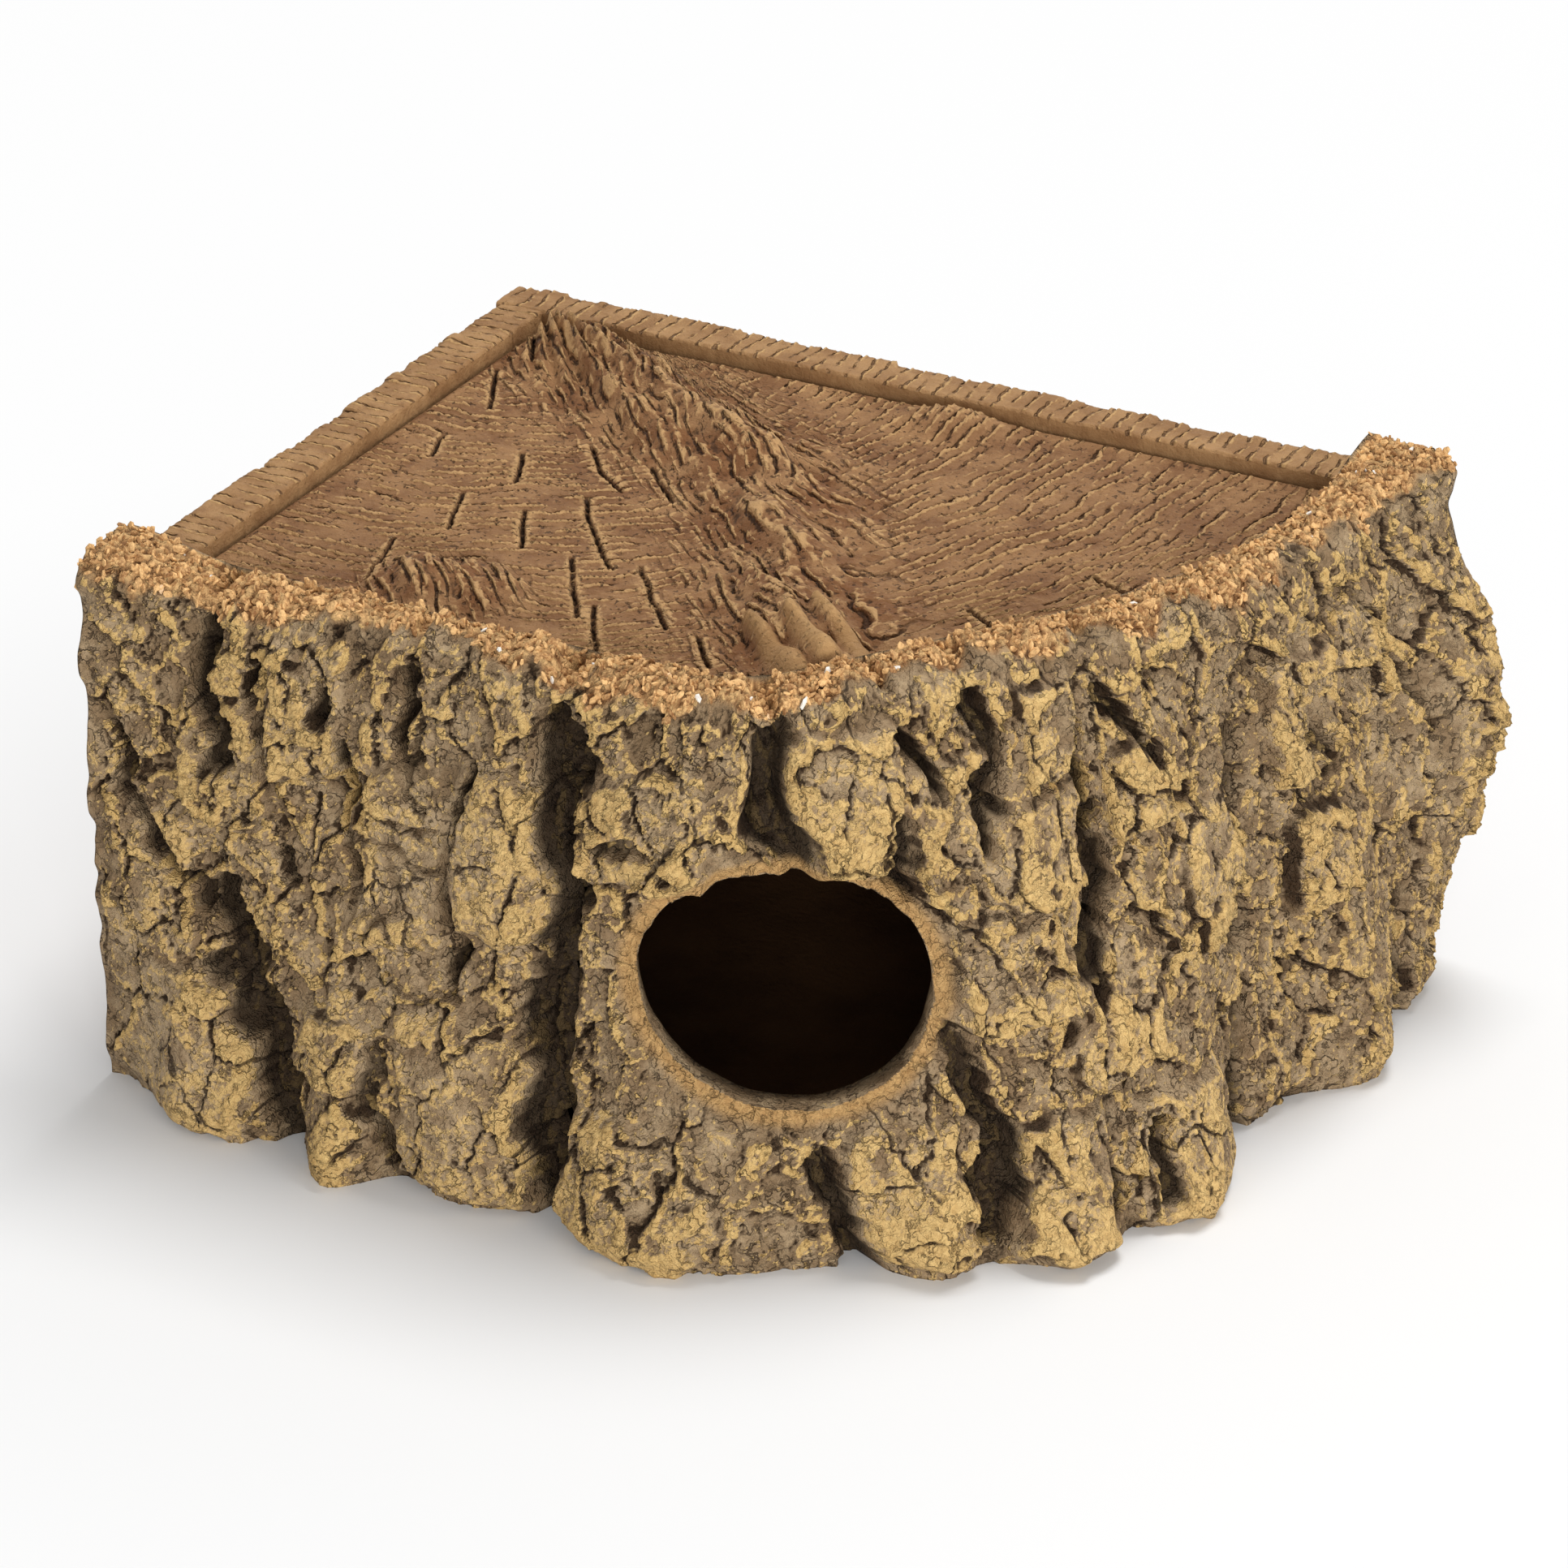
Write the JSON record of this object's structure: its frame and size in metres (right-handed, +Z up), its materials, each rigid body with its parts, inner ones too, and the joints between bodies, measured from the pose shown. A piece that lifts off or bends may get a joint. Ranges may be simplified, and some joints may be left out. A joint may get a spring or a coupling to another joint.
{
  "type": "reptile corner hide",
  "caption": "Corner hide for a reptile tank: bark-faced tub with an oval entrance at its rounded front corner, two plank-edged back walls and a lift-off stump lid.",
  "frame": {"origin": "middle of the bounding box at the ground", "axes": "+Z up; +X along the long back wall, away from the back corner; -Y along the short back wall, towards the front; the entrance faces between +X and -Y"},
  "size_m": [0.2406, 0.2002, 0.121],
  "materials": {
    "bark_resin": "cast resin bark, grey-brown with a dark wash in the furrows and ochre dry-brushed on the high parts",
    "plank_resin": "cast resin with rough-sawn cross ribs, tan, matte",
    "inside_resin": "plain cast resin, brown, smooth",
    "stump_resin": "cast resin with growth rings, checks and a twisted root ridge, warm brown with pale crests"
  },
  "bodies": {
    "tub": {"bark_wall": "bark_resin", "long_back_wall": "plank_resin", "short_back_wall": "plank_resin", "floor_plate": "inside_resin", "lid_ledge": "inside_resin"},
    "lid": {"lid": "stump_resin"}
  },
  "joints": [
    {"name": "lid_lift", "type": "slide", "parent": "tub", "child": "lid", "axis": [0, 0, 1], "range_m": [0, 0.08]}
  ]
}
